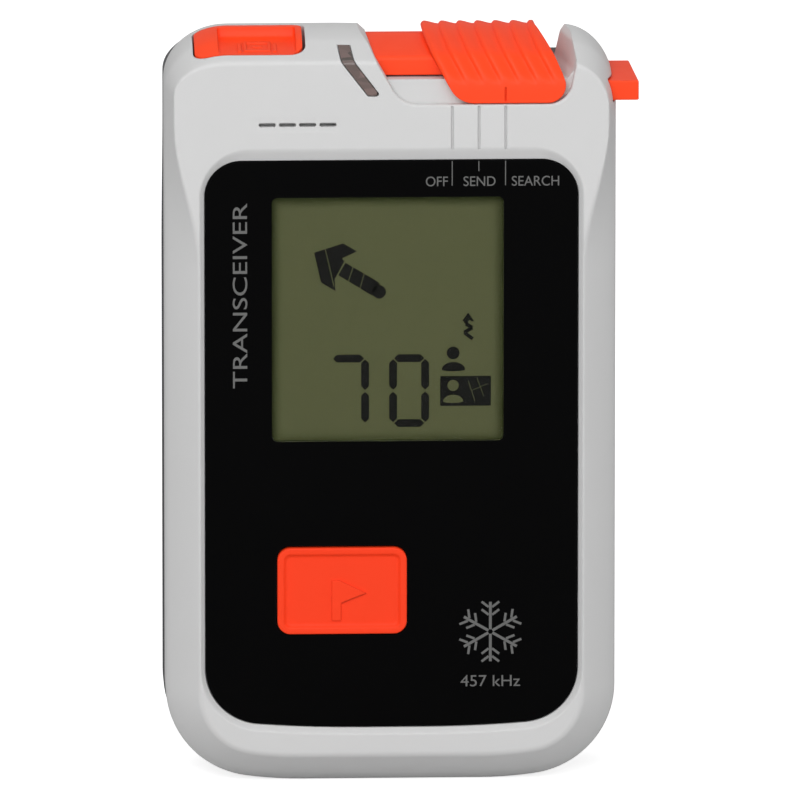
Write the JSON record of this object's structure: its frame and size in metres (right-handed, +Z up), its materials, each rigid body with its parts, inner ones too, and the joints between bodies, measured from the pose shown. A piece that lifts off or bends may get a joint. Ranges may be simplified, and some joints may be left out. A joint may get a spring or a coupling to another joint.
{
  "type": "avalanche transceiver",
  "caption": "Hand-held avalanche transceiver: display and mark button on the front, mode slider across the top, battery latch and a hinged battery door.",
  "frame": {"origin": "centre of the flat facet at the bottom end that the device stands on", "axes": "+Z up along the device, display towards -Y, +X to the right of the reader"},
  "size_m": [0.0713, 0.0247, 0.115],
  "materials": {
    "light_plastic": "fine matte moulded",
    "dark_plastic": "fine matte moulded",
    "black_gloss": "polished",
    "clear_lens": "polished clear",
    "lcd_glass": "reflective liquid crystal display",
    "smoked_light_pipe": "smoked translucent",
    "orange_plastic": "satin moulded",
    "white_plastic": "moulded",
    "rubber": "matte",
    "circuit_board": "solder mask",
    "chip_black": "moulded epoxy",
    "sheet_metal": "plated",
    "ferrite": "fired, matte",
    "copper_winding": "enamelled winding",
    "steel": "plated",
    "cell_wrap": "printed wrap"
  },
  "bodies": {
    "root": {"front_shell": "light_plastic", "back_shell": "dark_plastic", "battery_tray": "dark_plastic", "face_plate": "black_gloss", "display_lens": "clear_lens", "lcd_panel": "lcd_glass", "led_light_pipe": "smoked_light_pipe", "lcd_backlight": "white_plastic", "lcd_frame": "white_plastic", "status_led": "white_plastic", "zebra_strip": "rubber", "housing_gasket": "rubber", "button_seal": "rubber", "main_board": "circuit_board", "slide_sensor_board": "circuit_board", "processor_chip": "chip_black", "speaker_driver": "chip_black", "speaker_mesh": "chip_black", "button_switch": "chip_black", "rf_shield_can": "sheet_metal", "contact_plate_lower": "sheet_metal", "contact_plate_upper": "sheet_metal", "long_antenna_core": "ferrite", "cross_antenna_core": "ferrite", "depth_antenna_core": "ferrite", "long_antenna_coil": "copper_winding", "cross_antenna_coil": "copper_winding", "depth_antenna_coil": "copper_winding", "vibration_motor": "steel", "detent_spring": "steel", "latch_pin": "steel", "latch_spring": "steel", "door_hinge_pin": "steel", "lanyard_bar": "steel", "housing_screw_1": "steel", "housing_screw_2": "steel", "housing_screw_3": "steel", "housing_screw_4": "steel", "battery_spring_1": "steel", "battery_spring_2": "steel", "battery_spring_3": "steel", "battery_cell_1": "cell_wrap", "battery_cell_2": "cell_wrap", "battery_cell_3": "cell_wrap"},
    "slider": {"slider_carriage": "orange_plastic", "slider_grip": "orange_plastic", "slider_magnet": "steel"},
    "button": {"mark_button": "orange_plastic"},
    "latch": {"battery_latch": "orange_plastic"},
    "door": {"battery_door": "dark_plastic", "door_seal": "rubber"}
  },
  "joints": [
    {"name": "mode_slide", "type": "slide", "parent": "root", "child": "slider", "axis": [1, 0, 0], "range_m": [-0.008, 0]},
    {"name": "mark_press", "type": "slide", "parent": "root", "child": "button", "axis": [0, 1, 0], "range_m": [0, 0.0008], "stiffness_N_per_m": 1500, "springref_m": -0.0002},
    {"name": "latch_press", "type": "hinge", "parent": "root", "child": "latch", "pos_m": [-0.0276, -0.0054, 0.1113], "axis": [0, 1, 0], "range_deg": [0, 5], "stiffness_Nm_per_rad": 0.12, "springref_deg": -2.86, "deforming": ["latch_spring"]},
    {"name": "door_swing", "type": "hinge", "parent": "root", "child": "door", "pos_m": [-0.012, 0.0112, 0.05], "axis": [-1, 0, 0], "range_deg": [0, 95]}
  ]
}
